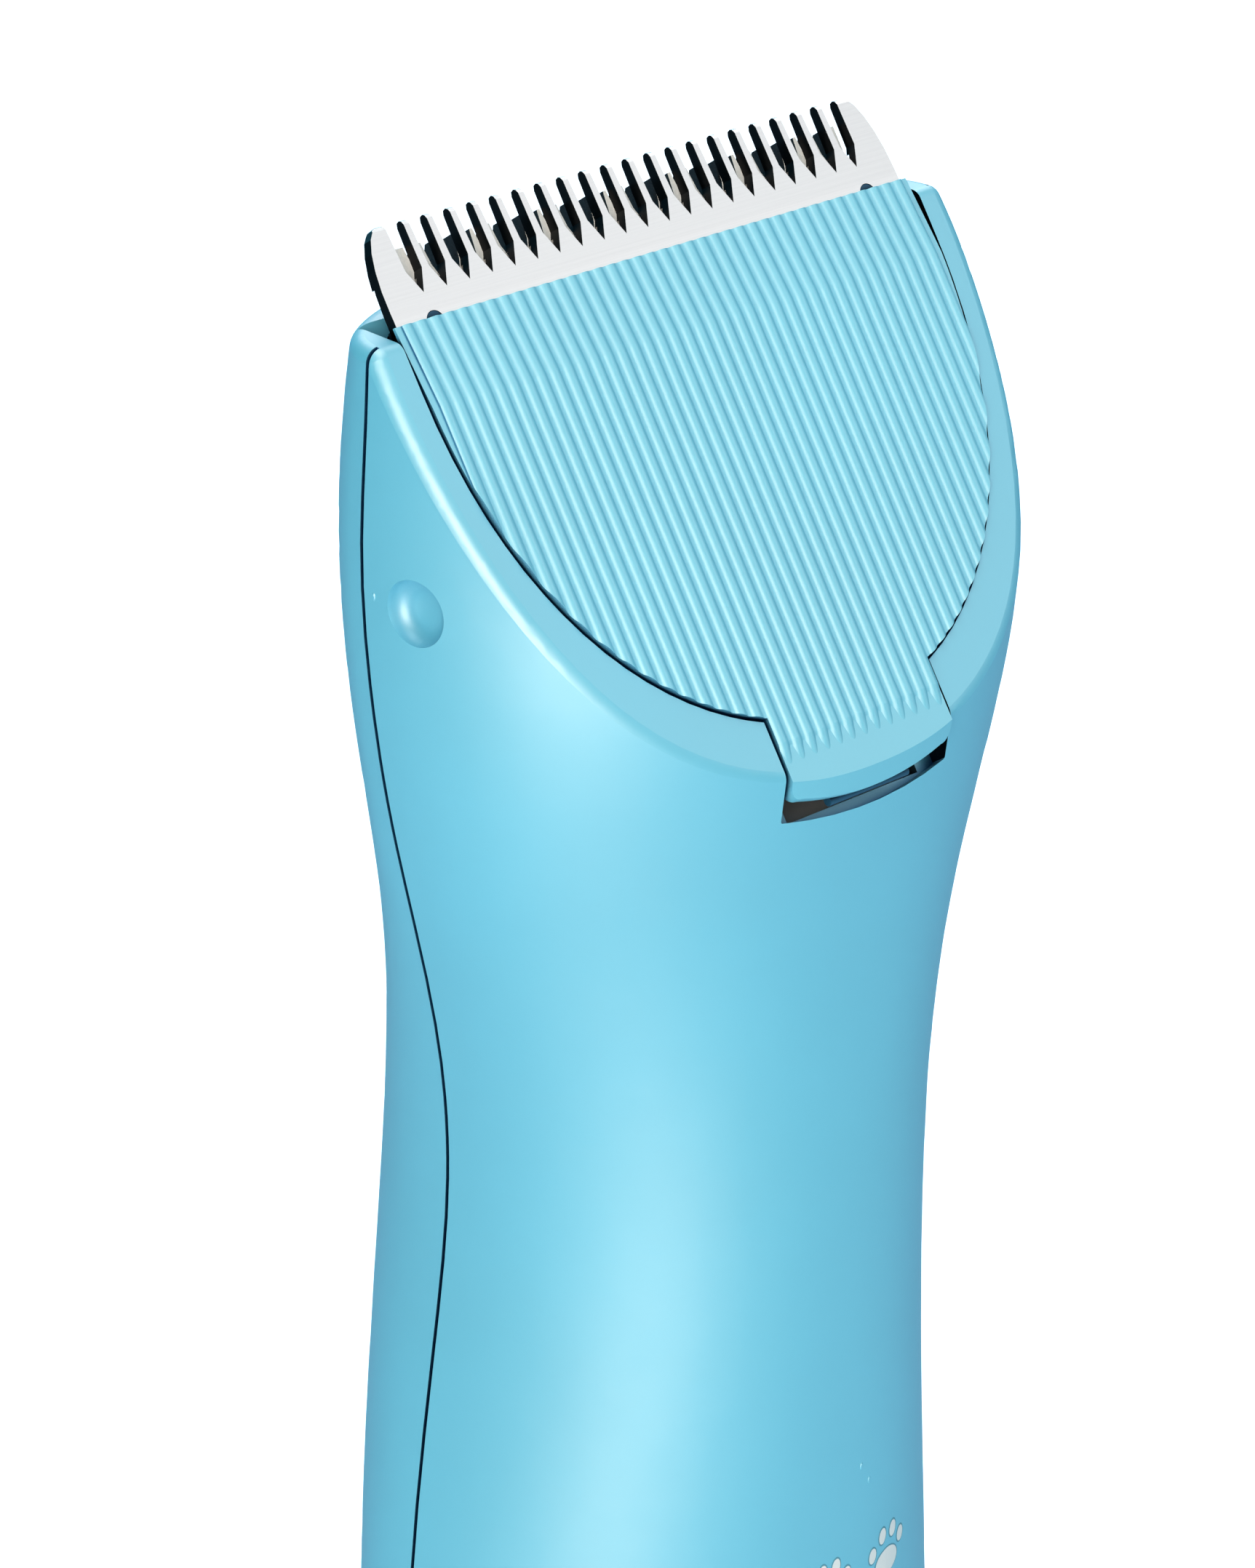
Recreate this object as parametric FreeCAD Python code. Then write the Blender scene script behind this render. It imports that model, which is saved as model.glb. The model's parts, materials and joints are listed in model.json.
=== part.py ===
import FreeCAD, Part
import math
import os

from FreeCAD import Placement, Rotation, Vector

# Cordless pet clipper, millimetres.  +Z runs from the flat base up to the comb tips, -Y is the
# front that carries the ribbed head cover and the button, and X is the width.  The origin is
# the centre of the base.

# ---- driving dimensions -------------------------------------------------------------------
TIP_Z = 156.0            # height of the comb tips
TIP_Y = 5.6              # depth position of the comb tips
RIM_ANGLE = 35.3         # lean of the head plane from the long axis, degrees
WALL = 1.8               # wall of both shells
FIT = 0.15               # gap between fixed inner pieces and the shells
SHELL_TOP = 151.15       # height of the cut top edge of the shells
POWER = 2.3              # exponent of the housing sections
RIM_RISE = 0.6           # rim face, measured outward from the plane through the comb tips
RIM_BAR = 2.6            # thickness of the rim behind its face
TOP_ROUND = 0.8          # rounding of the rim and top edges
CAVITY_FLOOR = 2.4
GROOVE_DEEP = 0.7        # parting line groove
GROOVE_HALF = 0.13
DISH_R = 1.85            # dish that a guard comb clicks into
DISH_Y = -1.6
DISH_Z = 137.7
DISH_FLOOR_X = 19.95
DISH_ROUND = 0.8
CAP_INSET = 3.4          # base cap inside the edge of the flat base
CAP_HIGH = 2.2
BASE_SCREW_X = 8.2
BASE_SCREW_Y = 3.4

# Housing stations: height, half width, front Y, back Y, Y of the parting line
STATIONS = (
    (154.0, 20.7, -14.2, 7.6, 1.9),
    (148.0, 21.1, -14.6, 9.4, 1.9),
    (140.0, 21.15, -15.0, 10.1, 2.2),
    (132.0, 20.75, -15.3, 9.9, 1.9),
    (124.0, 19.4, -14.6, 10.0, 1.75),
    (116.0, 17.35, -13.9, 11.8, 1.8),
    (108.0, 15.6, -13.9, 14.0, 1.9),
    (100.0, 14.85, -14.25, 15.3, 2.2),
    (90.0, 15.3, -14.45, 15.6, 2.7),
    (78.0, 16.7, -14.35, 14.9, 2.7),
    (64.0, 18.0, -14.4, 13.8, 2.1),
    (48.0, 18.5, -14.3, 13.4, 1.6),
    (32.0, 18.1, -13.8, 13.5, 1.2),
    (18.0, 17.4, -13.1, 13.4, 0.9),
    (8.0, 16.6, -12.4, 12.9, 0.6),
    (3.0, 15.8, -11.7, 12.2, 0.4),
    (0.0, 14.6, -10.5, 11.0, 0.4),
)

# Head cover
COVER_HALF = 18.9        # half width at its top
COVER_TOP = 5.4          # distance of its top edge below the comb tips, along the head plane
COVER_MID = 9.0          # where the sides start to curve in
COVER_DROP = 22.8        # height of the curved part
COVER_POWER = 2.12
TAB_HALF = 6.1
TAB_END = 35.4
TAB_BOW = 0.7
TAB_CORNER = 0.8
COVER_GAP = 0.2          # gap between cover and rim
SLOT = 0.8               # finger-nail slot under the tab
SLOT_CORNER = 0.15
SLOT_OPEN_X = 5.0        # half width of the opening behind the slot
SLOT_OPEN_Y = (-36.3, -34.6)
RIB_PITCH = 0.955
RIB_COUNT = 39
RIB_CREST = 0.92
RIB_FLANK = 0.80         # height where crest and valley curves meet
RIB_VALLEY = 0.74
RIB_VALLEY_HALF = 0.17
RIB_BASE = 0.45
RIB_FADE = 32.3          # the ribs start to sink into the lip here
RIB_FADE_RUN = 1.6
RIB_FADE_DROP = 0.3
BEND = 10.0              # the ribs lean back above this line
BEND_SLOPE = 0.088
LIP = RIB_VALLEY - 0.04  # plain border round the ribs
COVER_BACK = -0.6

# Blades
TOOTH_PITCH = 1.6
GAP_COUNT = 21
COMB_HALF = 18.6
COMB_LENGTH = 13.0
COMB_FACE = 0.10
COMB_BACK = -0.75        # face that the cutter slides on
COMB_RELIEF = -0.55      # the same face below the teeth, ground back
CUTTER_PITCH = 1.2
CUTTER_TEETH = 27
CUTTER_HALF = 16.3
CUTTER_THICK = 1.25
BLADE_GAP = 0.02
CUTTER_FRONT = COMB_BACK - BLADE_GAP
CUTTER_BACK = CUTTER_FRONT - CUTTER_THICK
PEG_X = 16.0
PEG_DROP = 5.6
PEG_R = 0.55
BLADE_SCREW_X = 14.9
BLADE_SCREW_DROP = 10.4
STUD_X = 7.0             # studs that carry the cutter
STUD_DROP = 8.0
STUD_R = 1.0
YOKE_TOP = CUTTER_BACK - 0.02
YOKE_PLATE = 1.1
YOKE_END = -21.5
CHEEK = 1.2
CHEEK_LOW = -8.8
CARRIER_BEAM = -5.0
NOSE_Y = -36.0           # round hinge nose at the foot of the tab
NOSE_RISE = -0.9
NOSE_R = 0.27
NOSE_HALF = 3.0

# Drive
DRIVE_Y = TIP_Y - 6.4    # motor axis
THROW = 1.0              # eccentricity of the drive pin
PIN_R = 1.0
PIN_TOP = 138.0
HUB_LOW = 127.5
HUB_HIGH = 131.5
HUB_R = 3.5
SHAFT_R = 1.0
MOTOR_TOP = 121.0
MOTOR_LOW = 96.0
MOTOR_R = 10.0
MOTOR_FLAT = 7.55        # half distance across the flats
DECK_LOW = 122.8
DECK_HIGH = 124.4
DECK_SCREW_X = 12.0
DECK_SCREW_Y = 1.0
YOKE_SLOT = 2 * PIN_R + 4 * THROW + 0.3

# Electrics
BATTERY_R = 7.0
BATTERY_LOW = 40.0
BATTERY_HIGH = 89.0
BATTERY_Y = 3.2
BOARD_FRONT = -7.6
BOARD_THICK = 1.6
BOARD_HALF = 9.0
BOARD_LOW = 3.0
BOARD_HIGH = 84.0
BUTTON_Z = 56.0
BUTTON_R = 5.4
BUTTON_RING = 0.9
BUTTON_PROUD = 0.35
PORT_HALF_X = 4.47
PORT_HALF_Y = 1.63
PORT_Y = BOARD_FRONT + BOARD_THICK + PORT_HALF_Y
BOARD_SCREW_X = 7.4
BOARD_SCREW_Z = (34.0, 78.0)
FRAME_FRONT = BOARD_FRONT + BOARD_THICK
FRAME_BACK = FRAME_FRONT + 1.6
SWITCH_HALF = 3.0
SWITCH_TOP = BOARD_FRONT - 2.1
PLUNGER_TOP = BOARD_FRONT - 3.2
LAMP_X = 6.2

SIN = math.sin(math.radians(RIM_ANGLE))
COS = math.cos(math.radians(RIM_ANGLE))
X_AXIS = Vector(1, 0, 0)
Y_AXIS = Vector(0, 1, 0)
Z_AXIS = Vector(0, 0, 1)


# ---- small helpers ------------------------------------------------------------------------
def box(x, y, z):
    """A box from three (low, high) pairs."""
    size = (x[1] - x[0], y[1] - y[0], z[1] - z[0])
    return Part.makeBox(*size, Vector(x[0], y[0], z[0]))


def rod(radius, start, end):
    """A round bar between two points."""
    run = end - start
    return Part.makeCylinder(radius, run.Length, start, run)


def upright(radius, x, y, low, high):
    return rod(radius, Vector(x, y, low), Vector(x, y, high))


def tube(outer, inner, start, end):
    return rod(outer, start, end).cut(rod(inner, start, end))


def fuse(solids):
    joined = solids[0].multiFuse(solids[1:]) if len(solids) > 1 else solids[0]
    return joined.removeSplitter()


def prism(points, along):
    """A straight-sided outline pushed along a vector."""
    corners = [Vector(*p) for p in points]
    return Part.Face(Part.makePolygon(corners + corners[:1])).extrude(along)


def on_head(solid):
    """From head axes (X width, Y up the head plane, Z outward) to the clipper's frame."""
    turned = solid.copy()
    turned.Placement = Placement(Vector(0, TIP_Y, TIP_Z), Rotation(X_AXIS, 90 - RIM_ANGLE))
    return turned


# ---- housing ------------------------------------------------------------------------------
def ring_points(half, front, back, middle, count=32):
    """Points of one housing section: two half ovals that meet at the parting line."""
    points = []
    for step in range(count):
        angle = 2 * math.pi * (step / count + 0.25)
        c = math.cos(angle)
        s = math.sin(angle)
        depth = middle - front if s < 0 else back - middle
        x = half * math.copysign(abs(c) ** (2 / POWER), c)
        y = middle + depth * math.copysign(abs(s) ** (2 / POWER), s)
        points.append((x, y))
    return points


def oval(half, front, back, middle, z):
    curve = Part.BSplineCurve()
    points = [Vector(x, y, z) for x, y in ring_points(half, front, back, middle)]
    curve.interpolate(Points=points, PeriodicFlag=True)
    return Part.Wire([curve.toShape()])


def body_solid(inset, floor=None):
    """The housing's outer form, drawn in by inset on every side."""
    rings = []
    for z, half, front, back, middle in STATIONS:
        if floor is None or z > floor + 0.5:
            rings.append(oval(half - inset, front + inset, back - inset, middle, z))
    if floor is not None:
        z, half, front, back, middle = STATIONS[-2]
        rings.append(oval(half - inset, front + inset, back - inset, middle, floor))
    return Part.makeLoft(rings, True, False)


def front_half(shift):
    """Everything in front of the parting surface, moved back by shift."""
    curve = Part.BSplineCurve()
    line = [Vector(-40, middle + shift, z) for z, half, front, back, middle in STATIONS]
    line = [Vector(-40, line[0].y - 0.8, 162)] + line + [Vector(-40, line[-1].y, -6)]
    curve.interpolate(line)
    far = [line[-1], Vector(-40, -60, -6), Vector(-40, -60, 162), line[0]]
    outline = Part.Wire([curve.toShape()] + Part.makePolygon(far).Edges)
    return Part.Face(outline).extrude(Vector(80, 0, 0))


def below_head_plane(rise):
    """A big block whose outer face is parallel to the head plane at the given rise."""
    return on_head(box((-60, 60), (-260, 60), (rise - 120, rise)))


def cover_outline(gap, low_gap, top, inner, outer, rounding=TAB_CORNER):
    """The head cover's outline as a prism in head axes between two depths."""
    half = COVER_HALF + gap
    drop = COVER_DROP + gap
    tab = TAB_HALF + gap
    side = []
    steps = 9
    last = math.asin((1 - (tab / half) ** COVER_POWER) ** 0.5)
    for step in range(steps):
        angle = last * step / (steps - 1)
        x = half * math.cos(angle) ** (2 / COVER_POWER)
        side.append(Vector(x, -COVER_MID - drop * math.sin(angle) ** (2 / COVER_POWER), inner))
    end = -TAB_END - low_gap
    corner = rounding * (1 - math.sqrt(0.5))
    edges = []
    for sign in (1, -1):
        flank = [Vector(sign * p.x, p.y, inner) for p in side]
        curve = Part.BSplineCurve()
        curve.interpolate(flank)
        edges.append(curve.toShape())
        edges.append(Part.makeLine(Vector(sign * half, top, inner), flank[0]))
        low = Vector(sign * tab, end + rounding, inner)
        edges.append(Part.makeLine(flank[-1], low))
        middle = Vector(sign * (tab - corner), end + corner, inner)
        foot = Vector(sign * (tab - rounding), end, inner)
        edges.append(Part.Arc(low, middle, foot).toShape())
    bow = Vector(0, end - TAB_BOW, inner)
    left = Vector(rounding - tab, end, inner)
    right = Vector(tab - rounding, end, inner)
    edges.append(Part.Arc(left, bow, right).toShape())
    edges.append(Part.makeLine(Vector(-half, top, inner), Vector(half, top, inner)))
    outline = Part.Wire(Part.__sortEdges__(edges))
    return Part.Face(outline).extrude(Vector(0, 0, outer - inner))


def dimple(side):
    """Round dish that a guard comb clicks into, on one side wall of the head."""
    floor = Vector(side * DISH_FLOOR_X, DISH_Y, DISH_Z)
    dish = rod(DISH_R, floor, floor + Vector(side * 5, 0, 0))
    rim = [edge for edge in dish.Edges if abs(edge.CenterOfMass.x) < DISH_FLOOR_X + 0.01]
    return dish.makeFillet(DISH_ROUND, rim)


def soften_top(solid):
    """Round the edges of the rim face and of the cut top."""
    head_normal = Vector(0, -COS, SIN)
    edges = []
    for face in solid.Faces:
        if face.Surface.TypeId != "Part::GeomPlane":
            continue
        normal = face.normalAt(0, 0)
        if normal.dot(head_normal) > 0.999 or normal.z > 0.999:
            edges += [e for e in face.Edges if not any(e.isSame(other) for other in edges)]
    return solid.makeFillet(TOP_ROUND, edges)


def shells():
    """Both halves of the housing."""
    outer = body_solid(0)
    cavity = body_solid(WALL, floor=CAVITY_FLOOR).common(below_head_plane(RIM_RISE - RIM_BAR))
    under_top = box((-60, 60), (-60, 60), (-1, SHELL_TOP))
    outer = soften_top(outer.common(below_head_plane(RIM_RISE)).common(under_top))
    hull = outer.cut(cavity)
    pocket_floor = RIM_RISE - RIM_BAR - 0.3
    pocket = on_head(cover_outline(COVER_GAP, SLOT, 8, pocket_floor, 9, SLOT_CORNER))
    slot_room = on_head(box((-SLOT_OPEN_X, SLOT_OPEN_X), SLOT_OPEN_Y, (-6, pocket_floor + 0.3)))
    groove_skin = body_solid(-1).cut(body_solid(GROOVE_DEEP))
    groove = groove_skin.common(front_half(GROOVE_HALF)).cut(front_half(-GROOVE_HALF))
    button_axis = Vector(0, -8, BUTTON_Z)
    button_hole = rod(BUTTON_R + BUTTON_RING, button_axis, Vector(0, -20, BUTTON_Z))
    cap_hole = base_cap_form(0.1, -1, 4)
    for tool in (pocket, slot_room, groove, button_hole, cap_hole, dimple(-1), dimple(1)):
        hull = hull.cut(tool)
    front = hull.common(front_half(0))
    back = hull.cut(front_half(0))
    return front, back


def base_cap_form(gap, low, high):
    """The cap's oval plug; its edge lies inside the flat base."""
    inset = CAP_INSET - gap
    z, half, front, back, middle = STATIONS[-1]
    wire = oval(half - inset, front + inset, back - inset, middle, low)
    return Part.Face(wire).extrude(Vector(0, 0, high - low))


def base_cap():
    cap = base_cap_form(0, 0, CAP_HIGH)
    cap = cap.cut(port_form(0.2, -1, 3))
    for x in (-BASE_SCREW_X, BASE_SCREW_X):
        cap = cap.cut(upright(1.1, x, BASE_SCREW_Y, -1, 3))
        cap = cap.cut(upright(2.1, x, BASE_SCREW_Y, -1, 0.9))
    return cap


# ---- head, drawn in head axes -------------------------------------------------------------
def rib_face():
    """Section across the cover: rounded ribs and rounded valleys on a flat underside."""
    edges = []
    left = -RIB_COUNT * RIB_PITCH / 2
    start = Vector(left + RIB_VALLEY_HALF, -BEND, RIB_FLANK)
    for index in range(RIB_COUNT):
        crest = Vector(left + (index + 0.5) * RIB_PITCH, -BEND, RIB_CREST)
        edge = left + (index + 1) * RIB_PITCH
        end = Vector(edge - RIB_VALLEY_HALF, -BEND, RIB_FLANK)
        edges.append(Part.Arc(start, crest, end).toShape())
        if index < RIB_COUNT - 1:
            start = Vector(edge + RIB_VALLEY_HALF, -BEND, RIB_FLANK)
            edges.append(Part.Arc(end, Vector(edge, -BEND, RIB_VALLEY), start).toShape())
    outside = left + RIB_VALLEY_HALF
    corners = [end, Vector(-outside, -BEND, RIB_BASE), Vector(outside, -BEND, RIB_BASE)]
    corners.append(Vector(outside, -BEND, RIB_FLANK))
    edges += Part.makePolygon(corners).Edges
    return Part.Face(Part.Wire(edges))


def head_cover():
    base = cover_outline(0, 0, -COVER_TOP, COVER_BACK, 3)
    section = rib_face()
    straight = section.extrude(Vector(0, BEND - RIB_FADE, 0))
    sinking = section.copy()
    sinking.translate(Vector(0, BEND - RIB_FADE, 0))
    sinking = sinking.extrude(Vector(0, -RIB_FADE_RUN, -RIB_FADE_DROP))
    run = BEND - COVER_TOP + 0.5
    leaning = section.extrude(Vector(0, run, -BEND_SLOPE * run))
    top = LIP - BEND_SLOPE * (BEND - 4)
    side = ((-40, COVER_BACK), (-40, LIP), (-BEND, LIP), (-4, top), (-4, COVER_BACK))
    plate = prism([(-20, y, z) for y, z in side], Vector(40, 0, 0))
    cover = base.common(fuse([plate, straight, sinking, leaning]))
    blade_room = box((-30, 30), (-COMB_LENGTH - 0.3, 0), (-5, COMB_FACE + 0.04))
    cover = cover.cut(blade_room)
    return on_head(cover).common(body_solid(-0.25))


def comb_outline():
    """Toothed outline with large rounded outer corners."""
    points = [(COMB_HALF, -COMB_LENGTH), (COMB_HALF, -4.6)]
    corner_x = 1.6
    for step in range(1, 7):
        angle = math.pi / 12 * step
        x = COMB_HALF - corner_x * (1 - math.cos(angle))
        points.append((x, -4.6 + 4.6 * math.sin(angle)))
    for index in range(GAP_COUNT):
        middle = ((GAP_COUNT - 1) / 2 - index) * TOOTH_PITCH
        points.append((middle + 0.62, 0))
        points.append((middle + 0.56, -2.7))
        points.append((middle, -4.0))
        points.append((middle - 0.56, -2.7))
        points.append((middle - 0.62, 0))
    right = [(x, y) for x, y in points[:8]]
    points += [(-x, y) for x, y in reversed(right)]
    return points


def comb_blade():
    blank = prism([(x, y, -2) for x, y in comb_outline()], Vector(0, 0, 4))
    back = COMB_BACK
    profile = [
        (-COMB_LENGTH, COMB_RELIEF), (-3.1, COMB_RELIEF), (-3.1, back), (-0.3, back),
        (-0.06, back + 0.1), (0, -0.42), (-0.08, -0.25), (-0.3, -0.12), (-5.0, COMB_FACE),
        (-COMB_LENGTH, COMB_FACE),
    ]
    form = prism([(-20, y, z) for y, z in profile], Vector(40, 0, 0))
    comb = blank.common(form)
    for x in (-PEG_X, PEG_X):
        comb = comb.cut(upright(PEG_R + 0.03, x, -PEG_DROP, -3, 3))
    for x in (-BLADE_SCREW_X, BLADE_SCREW_X):
        comb = comb.cut(upright(1.1, x, -BLADE_SCREW_DROP, -3, 3))
    return on_head(comb)


def cutter_outline():
    """Moving blade: a toothed bar on a narrower tongue."""
    points = [(11.5, -11.2), (11.5, -4.3), (CUTTER_HALF, -4.3), (CUTTER_HALF, -1.3)]
    for index in range(CUTTER_TEETH - 1):
        middle = ((CUTTER_TEETH - 2) / 2 - index) * CUTTER_PITCH
        points.append((middle + 0.50, -1.3))
        points.append((middle + 0.34, -2.6))
        points.append((middle, -3.5))
        points.append((middle - 0.34, -2.6))
        points.append((middle - 0.50, -1.3))
    points += [(-CUTTER_HALF, -1.3), (-CUTTER_HALF, -4.3), (-11.5, -4.3), (-11.5, -11.2)]
    return points


def cutter_blade():
    blank = prism([(x, y, CUTTER_BACK) for x, y in cutter_outline()], Vector(0, 0, CUTTER_THICK))
    bevel = [(-0.5, CUTTER_BACK - 1), (-0.5, CUTTER_FRONT - 0.45), (-3.4, CUTTER_BACK - 1)]
    blank = blank.cut(prism([(-20, y, z) for y, z in bevel], Vector(40, 0, 0)))
    for x in (-STUD_X, STUD_X):
        blank = blank.cut(upright(STUD_R + 0.03, x, -STUD_DROP, -6, 0))
    return on_head(blank)


def cutter_yoke():
    """Plastic driver: a plate under the cutter and two cheeks that straddle the drive pin."""
    low = YOKE_TOP - YOKE_PLATE
    plate = box((-10.8, 10.8), (-11.6, -5.2), (low, YOKE_TOP))
    outer = YOKE_SLOT / 2 + CHEEK
    pieces = [plate, box((-outer, outer), (YOKE_END, -11.6), (low, YOKE_TOP))]
    for side in (-1, 1):
        across = sorted((side * YOKE_SLOT / 2, side * outer))
        pieces.append(box(across, (YOKE_END, -13.7), (CHEEK_LOW, YOKE_TOP)))
        stud_end = CUTTER_FRONT - 0.2
        pieces.append(upright(STUD_R, side * STUD_X, -STUD_DROP, YOKE_TOP - 0.5, stud_end))
    return on_head(fuse(pieces))


def head_carrier():
    """Frame behind the cover: holds the comb at both ends and leaves room for the driver."""
    rim = cover_outline(-0.6, -0.6, 0, -2.55, COVER_BACK - 0.05)
    rim = rim.common(box((-30, 30), (-60, -COMB_LENGTH - 0.35), (-9, 2)))
    rim = rim.cut(box((-5.9, 5.9), (-22.2, -10), (-9, 2)))
    pieces = [rim, box((-17.5, 17.5), (-13.7, -9.6), (CARRIER_BEAM, -4.1))]
    steps = (
        (18.4, -13.2, -5.4, -1.0, COMB_RELIEF - 0.03),
        (17.3, -13.7, -5.4, -1.9, -0.9),
        (17.5, -13.7, -9.6, CARRIER_BEAM, -1.0),
    )
    for side in (-1, 1):
        for reach, low_y, high_y, low_z, high_z in steps:
            across = sorted((side * 13.0, side * reach))
            pieces.append(box(across, (low_y, high_y), (low_z, high_z)))
        pieces.append(upright(PEG_R, side * PEG_X, -PEG_DROP, -1.6, COMB_FACE - 0.02))
    nose_low = Vector(-NOSE_HALF, NOSE_Y, NOSE_RISE)
    pieces.append(rod(NOSE_R, nose_low, Vector(NOSE_HALF, NOSE_Y, NOSE_RISE)))
    tongue = (NOSE_RISE - NOSE_R, NOSE_RISE + NOSE_R - 0.03)
    pieces.append(box((-NOSE_HALF, NOSE_HALF), (NOSE_Y, NOSE_Y + 1.6), tongue))
    carrier = fuse(pieces)
    for x in (-BLADE_SCREW_X, BLADE_SCREW_X):
        carrier = carrier.cut(upright(0.85, x, -BLADE_SCREW_DROP, -4.6, 1))
    return on_head(carrier)


def cutter_spring():
    """Leaf spring that presses the driver and cutter against the comb."""
    low = YOKE_TOP - YOKE_PLATE - 0.12
    leaf = box((-9.5, 9.5), (-12.9, -10.0), (low - 0.3, low))
    feet = [box((x - 1.4, x + 1.4), (-12.9, -10.0), (-4.08, low - 0.3)) for x in (-7.5, 7.5)]
    return on_head(fuse([leaf] + feet))


def blade_screws():
    """Two short screws through the comb, hidden under the cover."""
    solids = []
    for x in (-BLADE_SCREW_X, BLADE_SCREW_X):
        screw = upright(0.83, x, -BLADE_SCREW_DROP, -4.3, COMB_FACE - 0.02)
        solids.append(on_head(screw))
    return Part.makeCompound(solids)


# ---- drive --------------------------------------------------------------------------------
def flatted(radius, flat, low, high):
    """Round can with flats front and back, on the motor axis."""
    can = upright(radius, 0, DRIVE_Y, low, high)
    return can.common(box((-60, 60), (DRIVE_Y - flat, DRIVE_Y + flat), (low, high)))


def motor_can():
    can = flatted(MOTOR_R, MOTOR_FLAT, MOTOR_LOW + 2.2, MOTOR_TOP)
    can = can.cut(flatted(MOTOR_R - 0.8, MOTOR_FLAT - 0.8, MOTOR_LOW, MOTOR_TOP - 0.8))
    can = can.fuse(upright(3.2, 0, DRIVE_Y, MOTOR_TOP - 0.8, MOTOR_TOP + 1.2)).removeSplitter()
    can = can.cut(upright(2.5, 0, DRIVE_Y, MOTOR_TOP - 3, MOTOR_TOP + 3))
    for x in (-7.0, 7.0):
        can = can.cut(upright(0.9, x, DRIVE_Y, MOTOR_TOP - 2, MOTOR_TOP + 1))
    return can


def bearing(low, high):
    return upright(2.48, 0, DRIVE_Y, low, high).cut(upright(SHAFT_R + 0.03, 0, DRIVE_Y, low, high))


def motor_end_cap():
    cap = flatted(MOTOR_R - 0.05, MOTOR_FLAT - 0.05, MOTOR_LOW, MOTOR_LOW + 2.15)
    cap = cap.cut(upright(2.5, 0, DRIVE_Y, MOTOR_LOW - 1, MOTOR_LOW + 3))
    for x in (-6.0, 6.0):
        cap = cap.cut(box((x - 1.1, x + 1.1), (DRIVE_Y - 0.3, DRIVE_Y + 0.3), (90, 100)))
    return cap


def motor_magnets():
    """Two curved magnets lining the can."""
    ring = flatted(MOTOR_R - 0.85, MOTOR_FLAT - 0.85, MOTOR_LOW + 5, MOTOR_TOP - 3)
    ring = ring.cut(upright(5.9, 0, DRIVE_Y, MOTOR_LOW, MOTOR_TOP))
    return ring.cut(box((-4, 4), (DRIVE_Y - 20, DRIVE_Y + 20), (MOTOR_LOW, MOTOR_TOP)))


def armature():
    """Three-pole rotor with its commutator."""
    core = upright(5.5, 0, DRIVE_Y, MOTOR_LOW + 7, MOTOR_TOP - 5)
    for step in range(3):
        angle = math.radians(120 * step + 90)
        x = 5.2 * math.cos(angle)
        y = DRIVE_Y + 5.2 * math.sin(angle)
        core = core.cut(upright(1.3, x, y, MOTOR_LOW, MOTOR_TOP))
    core = core.fuse(upright(2.4, 0, DRIVE_Y, MOTOR_LOW + 3, MOTOR_LOW + 7)).removeSplitter()
    return core.cut(upright(SHAFT_R, 0, DRIVE_Y, MOTOR_LOW, MOTOR_TOP))


def motor_terminals():
    solids = []
    for x in (-6.0, 6.0):
        solids.append(box((x - 1.0, x + 1.0), (DRIVE_Y - 0.2, DRIVE_Y + 0.2), (92.6, 98.0)))
    return Part.makeCompound(solids)


def motor_shaft():
    return upright(SHAFT_R, 0, DRIVE_Y, MOTOR_LOW + 0.3, HUB_HIGH - 0.6)


def drive_hub():
    """Eccentric hub with its counterweight side cut away above the clamp."""
    hub = upright(HUB_R, 0, DRIVE_Y, HUB_LOW, HUB_HIGH)
    notch = box((-9, 9), (DRIVE_Y - 9, DRIVE_Y - 2.2), (HUB_HIGH - 1.4, HUB_HIGH + 1))
    hub = hub.cut(notch)
    hub = hub.cut(upright(SHAFT_R, 0, DRIVE_Y, HUB_LOW - 1, HUB_HIGH - 0.6))
    return hub.cut(upright(PIN_R, 0, DRIVE_Y + THROW, HUB_HIGH - 0.6, HUB_HIGH + 1))


def drive_pin():
    pin = upright(PIN_R, 0, DRIVE_Y + THROW, HUB_HIGH - 0.6, PIN_TOP - 0.5)
    tip = Part.makeCone(PIN_R, PIN_R - 0.4, 0.5, Vector(0, DRIVE_Y + THROW, PIN_TOP - 0.5))
    return pin.fuse(tip).removeSplitter()


def room():
    """Space inside the shells, less the fitting gap."""
    return body_solid(WALL + FIT, floor=CAVITY_FLOOR)


def drive_deck():
    """Bulkhead under the head: shuts the drive room off from hair."""
    deck = box((-40, 40), (-40, 40), (DECK_LOW, DECK_HIGH)).common(room())
    deck = deck.cut(upright(4.1, 0, DRIVE_Y, 120, 130))
    for x in (-DECK_SCREW_X, DECK_SCREW_X):
        deck = deck.cut(upright(0.85, x, DECK_SCREW_Y, 120, 130))
    return deck


def shaft_seal():
    """Soft ring round the shaft, in the deck."""
    ring = upright(4.05, 0, DRIVE_Y, DECK_LOW, DECK_HIGH)
    ring = ring.fuse(upright(5.0, 0, DRIVE_Y, DECK_HIGH, DECK_HIGH + 0.7)).removeSplitter()
    return ring.cut(upright(SHAFT_R + 0.08, 0, DRIVE_Y, 120, 130))


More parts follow.
